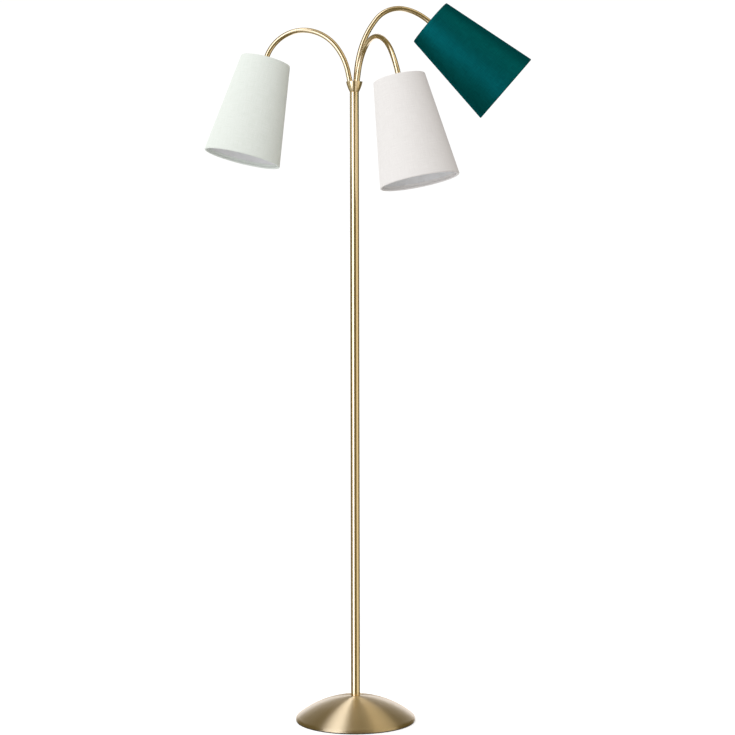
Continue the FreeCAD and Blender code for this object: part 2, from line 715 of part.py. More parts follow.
def shade_spider(side):
    """A flat ring held on the lampholder, three wires up to a wire ring under the top hem."""
    label = f"{side}_shade_spider"
    thickness, arm_radius = named("spider_ring_thickness"), named("spider_arm_radius")
    outer = named("spider_ring_radius")
    disc = primitive("Cylinder", f"{label}_disc", Radius=outer, Height=thickness)
    bind_position(disc, z=spider_seat)
    rim = primitive("Torus", f"{label}_rim", Radius1=wire_ring_radius(wire_below_rim),
                    Radius2=wire_radius)
    bind_position(rim, z=wire_below_rim)
    foot_x, foot_z = outer - arm_radius, spider_seat + thickness / 2.0
    run_x = wire_ring_radius(wire_below_rim) - foot_x
    run_z = foot_z - wire_below_rim
    run = square_root(run_x * run_x + run_z * run_z)
    wires = []
    for number in range(SPIDER_ARMS):
        wire = primitive("Cylinder", f"{label}_wire_{number + 1}", Radius=arm_radius, Height=run)
        around = 360.0 / SPIDER_ARMS * number
        lean = FreeCAD.Rotation(Vector(0, 1, 0), math.degrees(math.atan2(run_x.number, -run_z.number)))
        wire.Placement.Rotation = FreeCAD.Rotation(Vector(0, 0, 1), around).multiply(lean)
        bind_position(wire, x=foot_x * math.cos(math.radians(around)),
                      y=foot_x * math.sin(math.radians(around)), z=foot_z)
        wires.append(wire)
    hole = primitive("Cylinder", f"{label}_hole", Radius=holder_radius + named("ring_thread_fit"),
                     Height=holder_end)
    return cut(label, joined(f"{label}_solid", [disc, rim] + wires), hole)


def shade_bottom_ring(side):
    depth = shade_height - wire_below_rim
    return turned_ring(f"{side}_shade_bottom_ring", wire_ring_radius(depth), wire_radius, depth)


def shade(side):
    """A cone of stiff cloth whose two edges turn in over the wire rings."""
    top_inside = shade_outside(hem_thickness) - wall_across
    bottom_inside = shade_outside(shade_height - hem_thickness) - wall_across
    return turned(f"{side}_shade", [
        (shade_top_radius - hem, 0.0), (shade_top_radius, 0.0),
        (shade_bottom_radius, shade_height), (shade_bottom_radius - hem, shade_height),
        (shade_bottom_radius - hem, shade_height - hem_thickness),
        (bottom_inside, shade_height - hem_thickness), (top_inside, hem_thickness),
        (shade_top_radius - hem, hem_thickness),
    ])


def bulb(side):
    """A small round lamp: contact, screw shell, neck and ball."""
    tip_gap, screw = named("insert_fit"), named("bulb_screw_radius")
    start = contact_face + tip_gap
    shell = start + named("bulb_contact_height")
    shell_end = shell + named("bulb_screw_length")
    neck, neck_end = named("bulb_neck_radius"), shell_end + named("bulb_neck_length")
    centre, radius = holder_end + named("bulb_below_holder"), named("bulb_radius")
    shoulder = named("bulb_shoulder_radius")
    shoulder_at = centre - square_root(radius * radius - shoulder * shoulder)
    return turned(f"{side}_bulb", [
        (0.0, start), (named("bulb_contact_radius"), start), (screw, shell), (screw, shell_end),
        (neck, neck_end), (shoulder, shoulder_at), (0.0, centre + radius),
    ], {5: Arc(0.0, centre, radius, True)})


HEAD_PIECES = (lampholder_cap, lampholder_body, lampholder_insert, shade_ring, shade_spider, shade,
               shade_bottom_ring, bulb)
head_labels = []
for side in ARMS:
    for make in HEAD_PIECES:
        piece = make(side)
        piece.Placement = arms[side].head
        head_labels.append(piece.Label)

# ---------------------------------------------------------------- write the pieces

doc.recompute()

stand_labels = [
    "base_pad", "base_dome", "base_weight", "base_washer", "base_hex_nut", "base_nipple",
    "base_spacer", "cord_bushing", *pole_names, "coupler_lower", "coupler_upper", "pole_foot_bush",
    "pole_top_bush", "arm_collar", "collar_nipple", "arm_plate", "pole_lead",
]
for thing in doc.Objects:
    if "Invalid" in thing.State or "Error" in thing.State:
        raise RuntimeError(f"{thing.Label} did not build: {thing.State}")
os.makedirs("parts", exist_ok=True)
for label in stand_labels + neck_labels + head_labels:
    shape = doc.getObjectsByLabel(label)[0].Shape
    if shape.isNull() or not shape.isValid() or not shape.Solids:
        raise RuntimeError(f"{label} has no valid solid")
    shape.exportStep(f"parts/{label}.step")
    box = shape.BoundBox
    print(f"{label:26s} {len(shape.Solids)} solid, {shape.Volume / 1000.0:9.2f} cm3, "
          f"z {box.ZMin:7.1f} to {box.ZMax:7.1f}")
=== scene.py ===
# %% [markdown]
# # A floor lamp with three flexible arms
# The lamp is a spun brass base, a brass pole, and three goosenecks that each carry a cloth shade.
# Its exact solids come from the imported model, which is the fixed frame. This lesson dresses them:
# it measures the frame, rebuilds what should look wound, woven or threaded, and gives every
# surface a finish made of nodes.

# %% Load the frame
import json
import math

import bmesh
import bpy
import numpy as np
from mathutils import Matrix, Vector


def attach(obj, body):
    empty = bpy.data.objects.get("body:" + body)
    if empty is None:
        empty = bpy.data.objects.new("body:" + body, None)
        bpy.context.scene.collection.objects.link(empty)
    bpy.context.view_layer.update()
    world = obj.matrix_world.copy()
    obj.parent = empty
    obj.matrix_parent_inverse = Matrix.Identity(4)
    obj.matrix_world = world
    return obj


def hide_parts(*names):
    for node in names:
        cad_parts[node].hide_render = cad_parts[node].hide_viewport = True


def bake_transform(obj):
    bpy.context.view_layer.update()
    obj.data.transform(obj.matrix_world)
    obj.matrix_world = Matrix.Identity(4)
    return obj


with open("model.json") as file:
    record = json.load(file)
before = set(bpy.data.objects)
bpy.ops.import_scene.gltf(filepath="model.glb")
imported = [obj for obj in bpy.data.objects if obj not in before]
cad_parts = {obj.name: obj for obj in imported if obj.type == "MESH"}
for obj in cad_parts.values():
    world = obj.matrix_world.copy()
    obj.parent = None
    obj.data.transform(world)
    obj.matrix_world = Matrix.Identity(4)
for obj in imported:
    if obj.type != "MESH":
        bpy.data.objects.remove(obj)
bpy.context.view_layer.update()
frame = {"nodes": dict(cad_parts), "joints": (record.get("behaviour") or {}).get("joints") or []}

MM = 0.001
SIDES = ("left", "front", "right")
nodes = frame["nodes"]

# %% [markdown]
# ## Measuring the frame
# Each shade stands on its own tilted axis. The axis could be typed in, but then it would be
# wrong as soon as an arm is bent another way. So it is measured: the surface of a turned piece
# balances on its axis, and two turned pieces give the axis as a line.

# %% Middles, axes and sizes of the three heads
def vertices_of(name):
    mesh = nodes[name].data
    points = np.empty(len(mesh.vertices) * 3)
    mesh.vertices.foreach_get("co", points)
    return points.reshape(-1, 3)


def middle(name):
    """The balance point of a node's surface."""
    mesh = nodes[name].data
    areas, centres = np.empty(len(mesh.polygons)), np.empty(len(mesh.polygons) * 3)
    mesh.polygons.foreach_get("area", areas)
    mesh.polygons.foreach_get("center", centres)
    return Vector(areas @ centres.reshape(-1, 3) / areas.sum())


class Head:
    """One lampholder and shade. In its own frame z runs down into the shade from the top rim, and
    x is the side that is turned to the viewer."""

    def __init__(self, side):
        self.side = side
        foot = middle(f"{side}_lampholder_cap")
        self.axis = (middle(f"{side}_shade_bottom_ring") - foot).normalized()
        depth, across = self.along_and_across(f"{side}_shade", foot)
        self.top = foot + self.axis * depth.min()
        self.height = depth.max() - depth.min()
        edge = 0.1 * MM
        self.top_radius = across[depth < depth.min() + edge].max()
        self.bottom_radius = across[depth > depth.max() - edge].max()
        toward_viewer = Vector((0.0, -1.0, 0.0))
        x_axis = (toward_viewer - self.axis * toward_viewer.dot(self.axis)).normalized()
        turn = Matrix((x_axis, self.axis.cross(x_axis), self.axis)).transposed()
        self.place = Matrix.Translation(self.top) @ turn.to_4x4()

    def along_and_across(self, name, foot):
        """How far each vertex of a node lies along this head's axis, and how far from it."""
        offset = vertices_of(name) - np.array(foot)
        depth = offset @ np.array(self.axis)
        return depth, np.linalg.norm(offset - np.outer(depth, self.axis), axis=1)

    def measure(self, part):
        return self.along_and_across(f"{self.side}_{part}", self.top)


heads = {side: Head(side) for side in SIDES}
for side, head in heads.items():
    print(side, "shade", round(head.height / MM, 1), "mm high, radii",
          round(head.top_radius / MM, 1), round(head.bottom_radius / MM, 1))

# %% [markdown]
# ## Writing node trees as expressions
# A node tree can be clicked together, or built call by call, and both hide the idea behind the
# wiring. Here one small class wraps a socket, so that `1 - mask * 0.4` adds the Math nodes by
# itself, and one method adds any other node from its settings and its inputs.

# %% A socket that can be calculated with
class Value:
    """What a socket gives. Arithmetic adds Math nodes, so it is for numbers; a colour or a
    vector is only passed on."""

    def __init__(self, tree, socket):
        self.tree, self.socket = tree, socket

    def also(self, output):
        """Another output of the same node."""
        return Value(self.tree, self.socket.node.outputs[output])

    def math(self, operation, *operands):
        return self.tree.add("ShaderNodeMath", {"operation": operation}, dict(enumerate(operands)))

    def __add__(self, other):
        return self.math("ADD", self, other)

    def __radd__(self, other):
        return self.math("ADD", other, self)

    def __sub__(self, other):
        return self.math("SUBTRACT", self, other)

    def __rsub__(self, other):
        return self.math("SUBTRACT", other, self)

    def __mul__(self, other):
        return self.math("MULTIPLY", self, other)

    def __rmul__(self, other):
        return self.math("MULTIPLY", other, self)

    def __truediv__(self, other):
        return self.math("DIVIDE", self, other)

    def __pow__(self, power):
        return self.math("POWER", self, power)

    def __abs__(self):
        return self.math("ABSOLUTE", self)

    def sine(self):
        return self.math("SINE", self)

    def rise(self, start, end):
        """0 up to start, 1 from end, and a smooth step between them."""
        return self.tree.add("ShaderNodeMapRange", {"interpolation_type": "SMOOTHSTEP"},
                             {"Value": self, "From Min": start, "From Max": end})

    def band(self, start, end, soft):
        """1 between start and end, 0 outside, with soft sides."""
        return (self.rise(start - soft, start + soft)
                * (1.0 - self.rise(end - soft, end + soft)))


class NodeTree:
    """A node tree under construction."""

    def __init__(self, tree):
        self.tree = tree

    def feed(self, socket, value):
        if isinstance(value, Value):
            value = value.socket
        if isinstance(value, bpy.types.NodeSocket):
            self.tree.links.new(value, socket)
        elif socket.type == "RGBA" and len(value) == 3:
            socket.default_value = (*value, 1.0)
        else:
            socket.default_value = value

    def add(self, kind, settings=None, inputs=None, output=0):
        """Any node: its settings first, then its inputs by name or number; gives one output."""
        node = self.tree.nodes.new(kind)
        for name, setting in (settings or {}).items():
            setattr(node, name, setting)
        for name, value in (inputs or {}).items():
            self.feed(node.inputs[name], value)
        return Value(self, node.outputs[output]) if node.outputs else node


# %% [markdown]
# ## Materials
# A finish in this lesson is a Principled shader whose unchanging numbers sit on its own sockets,
# and whose colour, roughness or bump is painted by a pattern. The patterns are procedural: they
# follow each piece's own coordinates in metres, so they have the right scale from any distance.

# %% A finish under construction
class Finish(NodeTree):
    def __init__(self, name, constants):
        self.material = bpy.data.materials.new(name)
        self.material.use_nodes = True
        super().__init__(self.material.node_tree)
        self.shader = self.tree.nodes["Principled BSDF"]
        for socket, value in constants.items():
            self.feed(self.shader.inputs[socket], value)

    def paint(self, socket, value):
        self.feed(self.shader.inputs[socket], value)

    def place(self):
        """Object coordinates in metres, as a vector."""
        return self.add("ShaderNodeTexCoord", output="Object")

    def split(self, vector):
        x = self.add("ShaderNodeSeparateXYZ", {}, {0: vector})
        return x, x.also("Y"), x.also("Z")

    def join(self, x, y, z):
        return self.add("ShaderNodeCombineXYZ", {}, {0: x, 1: y, 2: z})

    def noise(self, vector, scale, detail=2.0):
        return self.add("ShaderNodeTexNoise", {}, {"Vector": vector, "Scale": scale,
                                                   "Detail": detail})

    def mix(self, factor, first, second):
        """One colour turning into another."""
        return self.add("ShaderNodeMix", {"data_type": "RGBA"}, {0: factor, 6: first, 7: second},
                        output=2)

    def bump(self, height, depth):
        """Relief: height runs from 0 to 1 and stands for depth in metres."""
        self.paint("Normal", self.add("ShaderNodeBump", {}, {"Height": height, "Distance": depth}))


# %% [markdown]
# ### Brass
# The real lamp is brass-plated steel under lacquer, in three states: the base is spun on a
# lathe, so its fine lines run in circles; the pole is tube, polished while it turns, so its rings
# are finer; the goosenecks are wound from wire. All three share one colour.
# An anisotropic shader blurs reflections across such lines. Its direction needs no node here,
# because without one Blender turns it round the piece's upright middle, as a lathe does. One
# quarter turn more, and a highlight on the base spreads outwards from the pole.

# %% Brass finishes
BRASS = (0.91, 0.725, 0.44)
BRASS_WORN = (0.83, 0.63, 0.34)
LACQUER = {"Metallic": 1.0, "Coat Weight": 0.1, "Coat Roughness": 0.1}
ACROSS_THE_LINES = 0.25  # of a full turn


def spun_brass():
    finish = Finish("spun_brass", {**LACQUER, "Anisotropic": 1.0,
                                   "Anisotropic Rotation": ACROSS_THE_LINES})
    x, y, z = finish.split(finish.place())
    radius = (x * x + y * y) ** 0.5
    lines = finish.noise(finish.join(radius * 2600.0, 0.0, 0.0), 1.0, 3.0)
    cloud = finish.noise(finish.place(), 22.0, 3.0)
    finish.paint("Base Color", finish.mix(cloud.rise(0.35, 0.75) * 0.3, BRASS, BRASS_WORN))
    finish.paint("Roughness", 0.46 + 0.08 * lines + 0.04 * cloud)
    return finish.material


def drawn_brass():
    finish = Finish("drawn_brass", {**LACQUER, "Anisotropic": 0.6,
                                    "Anisotropic Rotation": ACROSS_THE_LINES})
    x, y, z = finish.split(finish.place())
    lines = finish.noise(finish.join(x * 900.0, y * 900.0, z * 3000.0), 1.0, 2.0)
    cloud = finish.noise(finish.join(x * 30.0, y * 30.0, z * 6.0), 1.0, 3.0)
    finish.paint("Base Color", finish.mix(cloud.rise(0.4, 0.8) * 0.3, BRASS, BRASS_WORN))
    finish.paint("Roughness", 0.21 + 0.02 * lines + 0.03 * cloud)
    return finish.material


def wound_brass():
    """The grooves between the turns of wire are painted darker, as painted shade, and made rougher.
    """
    finish = Finish("wound_brass", LACQUER)
    groove = finish.add("ShaderNodeAttribute", {"attribute_name": "groove"}, output="Fac")
    cloud = finish.noise(finish.place(), 160.0, 3.0)
    # painted shade: the colour darkens towards brown in the grooves
    finish.paint("Base Color", finish.mix(groove * 0.35, BRASS, (0.40, 0.27, 0.12)))
    finish.paint("Roughness", 0.17 + 0.04 * cloud + 0.1 * groove)
    return finish.material


def pressed_brass(name, roughness, scale):
    finish = Finish(name, LACQUER)
    cloud = finish.noise(finish.place(), scale, 4.0)
    finish.paint("Base Color", finish.mix(cloud.rise(0.4, 0.7) * 0.5, BRASS, BRASS_WORN))
    finish.paint("Roughness", roughness + 0.12 * cloud)
    finish.bump(cloud, 0.01 * MM)
    return finish.material


# %% [markdown]
# ### The plain parts
# Iron, zinc-plated steel, moulded plastic, foam and powder coat differ in how coarse their
# surface is and how evenly it shines. One function covers them: a grain for the relief, a slower
# cloud for the colour, and the two roughnesses that the cloud moves between.

# %% Grained finishes
def grained(name, dark, light, roughness, grain_scale, depth, constants):
    finish = Finish(name, constants)
    cloud = finish.noise(finish.place(), 60.0, 4.0)
    grain = finish.noise(finish.place(), grain_scale, 2.0)
    tone = (0.6 * cloud + 0.4 * grain).rise(0.35, 0.65)
    finish.paint("Base Color", finish.mix(tone, dark, light))
    finish.paint("Roughness", roughness[0] + (roughness[1] - roughness[0]) * tone)
    finish.bump(grain, depth)
    return finish.material


finishes = {
    "brass_plate": spun_brass(),
    "brass_tube": drawn_brass(),
    "brass_neck": wound_brass(),
    "cap_brass": pressed_brass("cap_brass", 0.24, 240.0),
    "contact_brass": pressed_brass("contact_brass", 0.34, 500.0),
    "iron": grained("iron", (0.02, 0.02, 0.021), (0.045, 0.044, 0.043), (0.5, 0.75), 900.0,
                    0.15 * MM, {}),
    "zinc_steel": grained("zinc_steel", (0.5, 0.5, 0.49), (0.68, 0.69, 0.7), (0.28, 0.45), 1500.0,
                          0.01 * MM, {"Metallic": 1.0}),
    "black_plastic": grained("black_plastic", (0.012, 0.012, 0.013), (0.02, 0.02, 0.021),
                             (0.42, 0.55), 2600.0, 0.02 * MM, {}),
    "lead_sheath": grained("lead_sheath", (0.02, 0.02, 0.02), (0.035, 0.035, 0.035), (0.5, 0.62),
                           1200.0, 0.02 * MM, {}),
    "white_wire": grained("white_wire", (0.72, 0.72, 0.7), (0.8, 0.8, 0.78), (0.35, 0.5), 1800.0,
                          0.03 * MM, {}),
    "foam_pad": grained("foam_pad", (0.012, 0.012, 0.012), (0.05, 0.05, 0.048), (0.85, 0.98),
                        1300.0, 0.4 * MM, {}),
    "opal_bulb": grained("opal_bulb", (0.84, 0.84, 0.81), (0.88, 0.88, 0.86), (0.16, 0.22), 30.0,
                         0.0, {"Coat Weight": 0.3, "Subsurface Weight": 0.2,
                               "Subsurface Scale": 0.004}),
}
for name, node in nodes.items():
    finish = "cap_brass" if name.endswith("lampholder_cap") else node.data.materials[0].name
    if finish in finishes:
        node.data.materials[0] = finishes[finish]
print("plain finishes:", len(finishes))

# %% [markdown]
# ## The goosenecks
# A gooseneck is steel wire wound so tightly that friction holds whatever shape it is bent to.
# Modelling a helix of wire would cost a million faces. Geometry Nodes can instead sweep a circle
# along the arm and press a spiral groove into it: the depth at a point depends only on how far it
# lies along the arm and how far round, and both are stored while the tube is swept.

# %% A Geometry Nodes tree under construction
class Recipe(NodeTree):
    """Its first input is the geometry; the others are named sizes."""

    KINDS = {float: "NodeSocketFloat", int: "NodeSocketInt",
             bpy.types.Material: "NodeSocketMaterial"}

    def __init__(self, name, sizes):
        super().__init__(bpy.data.node_groups.new(name, "GeometryNodeTree"))
        self.sockets = {}
        interface = self.tree.interface
        interface.new_socket("Geometry", in_out="INPUT", socket_type="NodeSocketGeometry")
        for label, kind in sizes.items():
            self.sockets[label] = interface.new_socket(label, in_out="INPUT",
                                                       socket_type=self.KINDS[kind])
        interface.new_socket("Geometry", in_out="OUTPUT", socket_type="NodeSocketGeometry")
        self.start = self.tree.nodes.new("NodeGroupInput")

    def size(self, label):
        return Value(self, self.start.outputs[label])

    def store(self, geometry, label, kind, value):
        return self.add("GeometryNodeStoreNamedAttribute", {"data_type": kind, "domain": "POINT"},
                        {"Geometry": geometry, "Name": label, "Value": value})

    def stored(self, label, kind):
        return self.add("GeometryNodeInputNamedAttribute", {"data_type": kind}, {"Name": label})

    def finish_with(self, geometry):
        real = self.add("GeometryNodeRealizeInstances", {}, {0: geometry})
        dressed = self.add("GeometryNodeSetMaterial", {}, {"Geometry": real,
                                                           "Material": self.size("Finish")})
        self.add("NodeGroupOutput", {}, {0: dressed})

    def run(self, name, data, values):
        """Evaluates the tree on an object with this data, and gives the plain mesh."""
        carrier = bpy.data.objects.new(f"{name}_carrier", data)
        bpy.context.scene.collection.objects.link(carrier)
        modifier = carrier.modifiers.new("recipe", "NODES")
        modifier.node_group = self.tree
        for label, value in values.items():
            modifier[self.sockets[label].identifier] = value
        depsgraph = bpy.context.evaluated_depsgraph_get()
        mesh = bpy.data.meshes.new_from_object(carrier.evaluated_get(depsgraph))
        bpy.data.objects.remove(carrier)
        mesh.name = name
        return mesh


# %% The wound tube
def wound_tube():
    recipe = Recipe("wound_tube", {
        "Radius": float, "Pitch": float, "Depth": float, "Steps": int, "Sides": int,
        "From": float, "To": float, "Finish": bpy.types.Material})
    pitch, depth = recipe.size("Pitch"), recipe.size("Depth")
    path = recipe.add("GeometryNodeResampleCurve", {"mode": "LENGTH"},
                      {"Curve": recipe.start.outputs[0], "Length": pitch / recipe.size("Steps")})
    length = recipe.add("GeometryNodeSplineParameter", output="Length")
    path = recipe.store(path, "along", "FLOAT", length)
    path = recipe.store(path, "centre", "FLOAT_VECTOR", recipe.add("GeometryNodeInputPosition"))
    ring = recipe.add("GeometryNodeCurvePrimitiveCircle", {"mode": "RADIUS"},
                      {"Resolution": recipe.size("Sides"), "Radius": recipe.size("Radius")})
    ring = recipe.store(ring, "around", "FLOAT", recipe.add("GeometryNodeSplineParameter"))
    tube = recipe.add("GeometryNodeCurveToMesh", {}, {"Curve": path, "Profile Curve": ring})
    along = recipe.stored("along", "FLOAT")
    turns = along / pitch - recipe.stored("around", "FLOAT")
    groove = 1.0 - abs((turns * math.pi).sine()) ** 0.5
    tube = recipe.store(tube, "groove", "FLOAT", groove)
    outward = recipe.add("ShaderNodeVectorMath", {"operation": "SUBTRACT"},
                         {0: recipe.add("GeometryNodeInputPosition"),
                          1: recipe.stored("centre", "FLOAT_VECTOR")})
    outward = recipe.add("ShaderNodeVectorMath", {"operation": "NORMALIZE"}, {0: outward})
    pressed = recipe.add("ShaderNodeVectorMath", {"operation": "SCALE"},
                         {0: outward, "Scale": groove * depth * -1.0})
    tube = recipe.add("GeometryNodeSetPosition", {}, {"Geometry": tube, "Offset": pressed})
    kept = (along.math("GREATER_THAN", along, recipe.size("From"))
            * along.math("LESS_THAN", along, recipe.size("To")))
    tube = recipe.add("GeometryNodeSeparateGeometry", {"domain": "FACE"},
                      {"Geometry": tube, "Selection": kept})
    tube = recipe.add("GeometryNodeSetShadeSmooth", {}, {"Geometry": tube})
    recipe.finish_with(tube)
    return recipe


tube_recipe = wound_tube()
print("wound tube:", len(tube_recipe.tree.nodes), "nodes")

# %% [markdown]
# ### The line of each arm
# The arm's joints are known to the frame: one point each, and the first joint turns about the
# arm's own direction. Between two joints the gooseneck lies in one arc, and an arc's end
# direction follows from its start direction and its chord. A Bezier curve through those points
# is the line to sweep along, with handles as long as a circular arc needs.

# %% Arms as Bezier curves
joints = {joint["name"]: joint for joint in frame["joints"]}
BENDS = ("swing", "low_bend", "crown_bend", "head_bend")


class Arm:
    """The line of one gooseneck: its corners, and the direction it has at each."""

    def __init__(self, side):
        self.side, head = side, heads[side]
        pivots = [Vector(joints[f"{side}_{bend}"]["pos_m"]) for bend in BENDS]
        forward = Vector(joints[f"{side}_swing"]["axis"]).normalized()
        root = vertices_of(f"{side}_neck_1") - np.array(pivots[0])
        reach = (root @ np.array(forward)).min()
        cap_top = head.measure("lampholder_cap")[0].min()
        self.points = [pivots[0] + forward * reach, *pivots, head.top,
                       head.top + head.axis * cap_top]
        self.ways = [forward, forward]
        for start, end in zip(self.points[1:], self.points[2:]):
            chord = (end - start).normalized()
            forward = 2.0 * forward.dot(chord) * chord - forward
            self.ways.append(forward)
        self.ways[-2:] = [head.axis, head.axis]
        self.radius = head.measure("neck_5")[1][self.tube_part(head)].max()

    def tube_part(self, head):
        """Which vertices of the last length lie between the top rim and the ferrule."""
        depth = head.measure("neck_5")[0]
        return (depth > -0.5 * MM) & (depth < 1.0 * MM)

    def curve(self):
        data = bpy.data.curves.new(f"{self.side}_arm_line", "CURVE")
        data.dimensions = "3D"
        spline = data.splines.new("BEZIER")
        spline.bezier_points.add(len(self.points) - 1)
        spline.resolution_u = 64
        for knot, point in zip(spline.bezier_points, self.points):
            knot.handle_left_type = knot.handle_right_type = "FREE"
            knot.co = knot.handle_left = knot.handle_right = point
        for number, (start, end) in enumerate(zip(self.points, self.points[1:])):
            turn = self.ways[number].angle(self.ways[number + 1])
            reach = (end - start).length / (3.0 * math.cos(turn / 4.0) ** 2)
            first, second = spline.bezier_points[number], spline.bezier_points[number + 1]
            first.handle_right = start + self.ways[number] * reach
            second.handle_left = end - self.ways[number + 1] * reach
        return data

    def lengths(self):
        """How far along the arm each of its points lies."""
        run = [0.0]
        for number, (start, end) in enumerate(zip(self.points, self.points[1:])):
            half = self.ways[number].angle(self.ways[number + 1]) / 2.0
            chord = (end - start).length
            run.append(run[-1] + (chord * half / math.sin(half) if half > 1e-4 else chord))
        return run


arms = {side: Arm(side) for side in SIDES}
for side, arm in arms.items():
    print(side, "gooseneck", round(arm.lengths()[-1] / MM, 1), "mm long, radius",
          round(arm.radius / MM, 2))

# %% [markdown]
# ### One piece per bend
# A real gooseneck bends anywhere, and the frame lets it bend at four places. A piece that follows
# one body would break open there. So each piece runs from the middle of one length to the
# middle of the next.

# %% Sweep and cut the goosenecks
WINDING_PITCH = 1.6 * MM
GROOVE_DEPTH = 0.03 * MM
STEPS_PER_TURN, TUBE_SIDES = 8, 28
BEND_REACH = 22.0 * MM  # a distance along the arm on each side of a bend
SWING_REACH = 6.0 * MM


def link(name, mesh):
    piece = bpy.data.objects.new(name, mesh)
    bpy.context.scene.collection.objects.link(piece)
    return piece


def close_ends(mesh):
    """Fill the open ends of a tube, with every face turned outwards."""
    shape = bmesh.new()
    shape.from_mesh(mesh)
    bmesh.ops.remove_doubles(shape, verts=shape.verts, dist=1e-6)
    rim = [edge for edge in shape.edges if edge.is_boundary]
    caps = bmesh.ops.holes_fill(shape, edges=rim, sides=0)["faces"]
    bmesh.ops.recalc_face_normals(shape, faces=shape.faces)
    for cap in caps:
        cap.smooth = False
    shape.to_mesh(mesh)
    shape.free()


def goosenecks(arm):
    line, run = arm.curve(), arm.lengths()
    knots = run[1:5]
    cuts = [-MM] + [(a + b) / 2.0 for a, b in zip(knots, knots[1:])] + [run[-1] + MM]
    for number, bend in enumerate(BENDS):
        name = f"{arm.side}_gooseneck_{number + 1}"
        mesh = tube_recipe.run(name, line, {
            "Radius": arm.radius, "Pitch": WINDING_PITCH, "Depth": GROOVE_DEPTH,
            "Steps": STEPS_PER_TURN, "Sides": TUBE_SIDES, "From": cuts[number],
            "To": cuts[number + 1], "Finish": finishes["brass_neck"]})
        close_ends(mesh)
        piece = link(name, mesh)
        replaced = [f"{arm.side}_neck_{number + 2}"]
        if bend == "swing":
            replaced.append(f"{arm.side}_neck_1")
        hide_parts(*replaced)
        pivot, way = arm.points[number + 1], arm.ways[number + 1]
        reach = way * (SWING_REACH if bend == "swing" else BEND_REACH)
        pivot - reach
        pivot + reach
        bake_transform(piece)
        print(name, len(mesh.polygons), "faces")


for arm in arms.values():
    goosenecks(arm)

# %% [markdown]
# ## Turned pieces
# A ferrule, a shade and a grip ring are all an outline carried once round an axis. The helper
# below does that for a closed outline. Its result is a ring without poles or open edges, so it
# needs no caps, and the outline may also change with the angle, as the shade's will.

# %% Carry an outline round an axis
def ring_mesh(name, points, finish_of=None, uv=None):
    """points[column][corner] are the places; columns and corners both run round and close."""
    columns, corners = points.shape[:2]
    shape = bmesh.new()
    grid = [[shape.verts.new(place) for place in column] for column in points]
    layer = shape.loops.layers.uv.new("cloth") if uv is not None else None
    for column in range(columns):
        for corner in range(corners):
            square = [(column, corner), (column + 1, corner), (column + 1, corner + 1),
                      (column, corner + 1)]
            face = shape.faces.new([grid[c % columns][k % corners] for c, k in square])
            face.smooth = True
            if finish_of is not None:
                face.material_index = finish_of[corner]
            if layer is not None:
                for loop, (c, k) in zip(face.loops, square):
                    loop[layer].uv = uv[c][k]
    bmesh.ops.recalc_face_normals(shape, faces=shape.faces)
    mesh = bpy.data.meshes.new(name)
    shape.to_mesh(mesh)
    shape.free()
    mesh.set_sharp_from_angle(angle=math.radians(40.0))
    return mesh


def turned(name, outline, place, finish, columns=72):
    """A piece turned from a closed outline of (radius, depth) corners, in metres."""
    angles = np.linspace(0.0, 2.0 * math.pi, columns, endpoint=False)
    points = np.array([[(r * math.cos(a), r * math.sin(a), z) for r, z in outline] for a in angles])
    mesh = ring_mesh(name, points)
    mesh.materials.append(finish)
    mesh.transform(place)
    return link(name, mesh)


# %% [markdown]
# ### Ferrules
# Where the gooseneck screws into the lampholder, a short brass ferrule hides the end of the
# winding. It is small, but it sits in plain sight above the shade's wires.

# %% Ferrules
for side, head in heads.items():
    cap_top = head.measure("lampholder_cap")[0].min()
    depth, across = head.measure("neck_5")
    widest = across[(depth > 0.0) & (depth < cap_top + 0.1 * MM)].max()
    start, bore, edge = cap_top - 3.0 * MM, arms[side].radius * 0.9, 0.4 * MM
    ferrule = turned(f"{side}_ferrule", [
        (bore, start), (widest - edge, start), (widest - 0.1 * MM, start + 0.1 * MM),
        (widest, start + edge), (widest, cap_top - edge), (widest - edge, cap_top),
        (bore, cap_top)], head.place, finishes["cap_brass"])
    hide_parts(f"{side}_neck_5")
    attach(ferrule, f"{side}_head")
print("ferrule radius", round(widest / MM, 2))

# %% [markdown]
# ## Shades
# Each shade is fine cloth laminated to a stiff white lining and rolled into a cone. At both
# edges the cloth goes round a wire ring and is glued down inside, which leaves a soft bead at
# the rim and a narrow band of cloth within. The two ends of the strip lap at the back.
# One outline carries all of that. It is written along the cone: how far down its slanted side,
# and how far in from the outer face.

# %% Outline of the rolled edge
ROLL = (  # (distance from the rim, distance in from the face) in mm, from outside to inside
    (6.0, 0.0), (3.0, 0.0), (1.7, 0.05), (0.9, 0.25), (0.35, 0.7), (0.06, 1.3), (0.0, 1.9),
    (0.08, 2.6), (0.4, 3.2), (1.0, 3.75), (1.8, 4.05), (2.6, 4.05), (3.4, 3.75), (4.2, 3.1),
    (5.0, 2.4), (6.0, 1.85), (7.2, 1.6), (8.6, 1.5), (9.2, 1.45), (9.4, 1.2), (9.45, 1.0))
LINING_DEPTH = 1.0
WALL_STEPS = 24


def shade_outline(slant):
    """Corners along the cone in mm, and which of them start a face of lining."""
    top = [(along, depth) for along, depth in reversed(ROLL)]
    bottom = [(slant - along, depth) for along, depth in ROLL]
    first, last = ROLL[0][0], ROLL[-1][0]
    outer = [(first + (slant - 2.0 * first) * step / WALL_STEPS, 0.0)
             for step in range(1, WALL_STEPS)]
    inner = [(slant - last - (slant - 2.0 * last) * step / WALL_STEPS, LINING_DEPTH)
             for step in range(1, WALL_STEPS)]
    corners = top + outer + bottom + inner
    lined = [len(top) + len(outer) + len(bottom) - 1 <= number for number in range(len(corners))]
    return corners, lined


